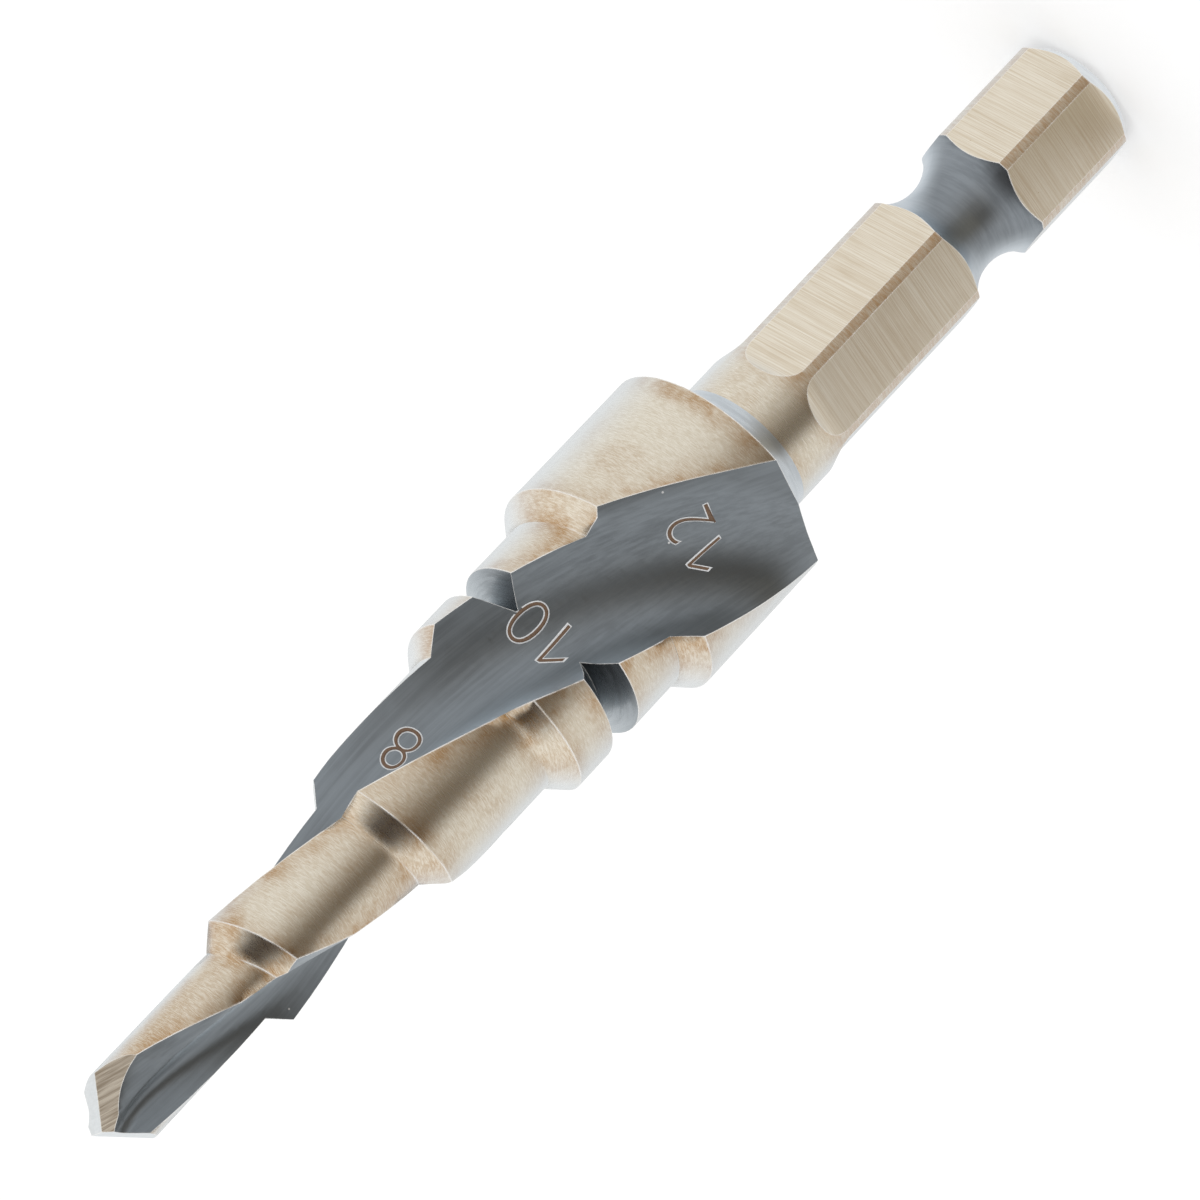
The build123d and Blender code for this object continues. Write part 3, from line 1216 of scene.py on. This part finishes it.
@dataclass
class LightTent:
    """White tent and floor, with the dark side and the dark opening that the metal reflects.

    Angles are in degrees. The floor's distances from the drill's end are in metres.
    """

    dark_bearing: float = -38.6
    wall_top: float = 45.0
    opening_elevation: float = 67.0
    opening_bearing: float = -27.0
    opening_inner: float = 12.0
    opening_outer: float = 39.0
    opening_colour: Colour = (0.030, 0.018, 0.012)
    floor_colour: float = 0.92
    floor_glow: float = 0.16
    floor_size: float = 3.0
    warm: Colour = (1.0, 0.83, 0.64)
    # Where the floor's painted reflection turns paler close to the drill and white right under it,
    # and the least colour it takes there.
    near_start: float = 0.045
    near_end: float = 0.012
    near_floor: Colour = (0.46, 0.41, 0.33)
    under_start: float = 0.0055
    under_end: float = 0.0035
    stops: tuple[SweepStop, ...] = (
        SweepStop(-180, 1.0), SweepStop(-106, 0.92), SweepStop(-50, 0.92),
        SweepStop(-30, 0.92), SweepStop(-19, 0.80), SweepStop(-8, 0.20),
        SweepStop(6, 0.17), SweepStop(22, 0.31), SweepStop(42, 0.64),
        SweepStop(62, 0.95), SweepStop(90, 1.0), SweepStop(180, 1.0),
    )

    def build(self) -> Piece:
        """Make the world and the floor.

        Returns:
            The floor.
        """
        self._world()
        return self._floor()

    def _sweep(self, sheet: Sheet, direction: Any) -> Socket:
        """Colour of the tent's wall at the bearing of a direction.

        Args:
            sheet: The sheet to build in.
            direction: Vector socket, from the drill outwards.

        Returns:
            Colour socket.
        """
        split = sheet.parts(direction)
        angle = sheet.math("ARCTAN2", split[1], split[0])
        offset = sheet.math("SUBTRACT", angle, math.radians(self.dark_bearing))
        wrapped = sheet.math("WRAP", offset, math.pi, -math.pi)
        share = sheet.math("MULTIPLY_ADD", wrapped, 0.5 / math.pi, 0.5)
        ramp = sheet.node("ValToRGB")
        ramp.color_ramp.interpolation = "B_SPLINE"
        for _ in self.stops[2:]:
            ramp.color_ramp.elements.new(0.5)
        for element, stop in zip(ramp.color_ramp.elements, self.stops):
            element.position = (stop.bearing + 180.0) / 360.0
            warmth = [w + (1.0 - w) * stop.brightness for w in self.warm]
            element.color = (*(stop.brightness * w for w in warmth), 1.0)
        sheet.feed(ramp.inputs[0], share)
        return ramp.outputs[0]

    def _world(self) -> None:
        """White all round for the camera, shaded where metal reflects it."""
        world = bpy.data.worlds.new("light_tent")
        bpy.context.scene.world = world
        world.use_nodes = True
        sheet = Sheet(world.node_tree)
        background = world.node_tree.nodes["Background"]
        direction = sheet.node("TexCoord").outputs["Generated"]
        low = sheet.span(sheet.parts(direction)[2], math.sin(math.radians(self.wall_top)), 0.0)
        wall = sheet.blend(low, WHITE, self._sweep(sheet, direction))
        opening = direction_at(math.radians(self.opening_elevation),
                               math.radians(self.opening_bearing))
        near = sheet.vector("DOT_PRODUCT", direction, opening)
        inner, outer = (math.cos(math.radians(a)) for a in (self.opening_inner, self.opening_outer))
        hole = sheet.span(near, outer, inner)
        seen = sheet.blend(hole, wall, self.opening_colour)
        path = sheet.node("LightPath")
        colour = sheet.blend(path.outputs["Is Glossy Ray"], WHITE, seen)
        sheet.fill(background, Color=colour, Strength=1.0)

    def _floor(self) -> Piece:
        """Pale floor under the drill, which keeps its shadow for the camera; in reflections it glows
        instead with painted shade of the tent's dark side, paler close to the drill and white right
        under it.

        Returns:
            The floor.
        """
        bpy.ops.object.select_all(action="DESELECT")
        bpy.ops.mesh.primitive_plane_add(size=self.floor_size)
        floor = bpy.context.object
        floor.name = "tent_floor"
        material, sheet, surface = new_material("tent_floor")
        path = sheet.node("LightPath")
        direction = sheet.node("TexCoord").outputs["Object"]
        mirrored = path.outputs["Is Glossy Ray"]
        pale = (self.floor_colour,) * 3
        # Painted shade for reflections: the floor glows with the tent's dark side, lifted close to
        # the drill and white right under it.
        away = sheet.fed("VectorMath", direction, operation="LENGTH").outputs["Value"]
        near = sheet.span(away, self.near_start, self.near_end)
        under = sheet.span(away, self.under_start, self.under_end)
        painted_floor_reflection = self._sweep(sheet, direction)
        painted_floor_reflection = sheet.blend(near, painted_floor_reflection, sheet.vector("MAXIMUM", painted_floor_reflection, self.near_floor))
        painted_floor_reflection = sheet.blend(under, painted_floor_reflection, WHITE)
        painted_floor_reflection = sheet.vector("MULTIPLY", painted_floor_reflection, pale)
        glow = sheet.math("MULTIPLY", path.outputs["Is Camera Ray"], self.floor_glow)
        sheet.fill(surface, Base_Color=sheet.blend(mirrored, pale, BLACK), Roughness=1.0,
                   Specular_IOR_Level=0.0, Emission_Color=sheet.blend(mirrored, WHITE, painted_floor_reflection),
                   Emission_Strength=sheet.math("ADD", glow, mirrored))
        floor.data.materials.append(material)
        return floor


GLYPHS = (
    Glyph("8", 22.31, 69.0),
    Glyph("1", 30.24, -8.2),
    Glyph("0", 30.18, 35.2),
    Glyph("1", 37.97, -39.1, size=0.87),
    Glyph("2", 38.03, -10.2),
)


def main() -> None:
    """Load the frame and build the looks around it."""
    logging.basicConfig(level=logging.INFO, format="%(name)s: %(message)s")
    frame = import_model()
    bpy.context.scene.view_settings.view_transform = "Standard"
    sizes = DrillSizes()
    effects = EffectLibrary(sizes)
    effects.build()

    body = DrillBody(sizes).build(frame["nodes"][NODE], effects)
    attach(body, "root")
    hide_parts(NODE)
    LOG.info("body: %d faces", len(body.data.polygons))

    for piece in StepMarks(sizes, GLYPHS).build(body):
        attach(piece, "root")
        LOG.info("%s: %d faces", piece.name, len(piece.data.polygons))

    LOG.info("floor: %s", LightTent().build().name)
    LOG.info("camera: %s", PhotoCamera().build(sizes).name)


if __name__ == "__main__":
    main()
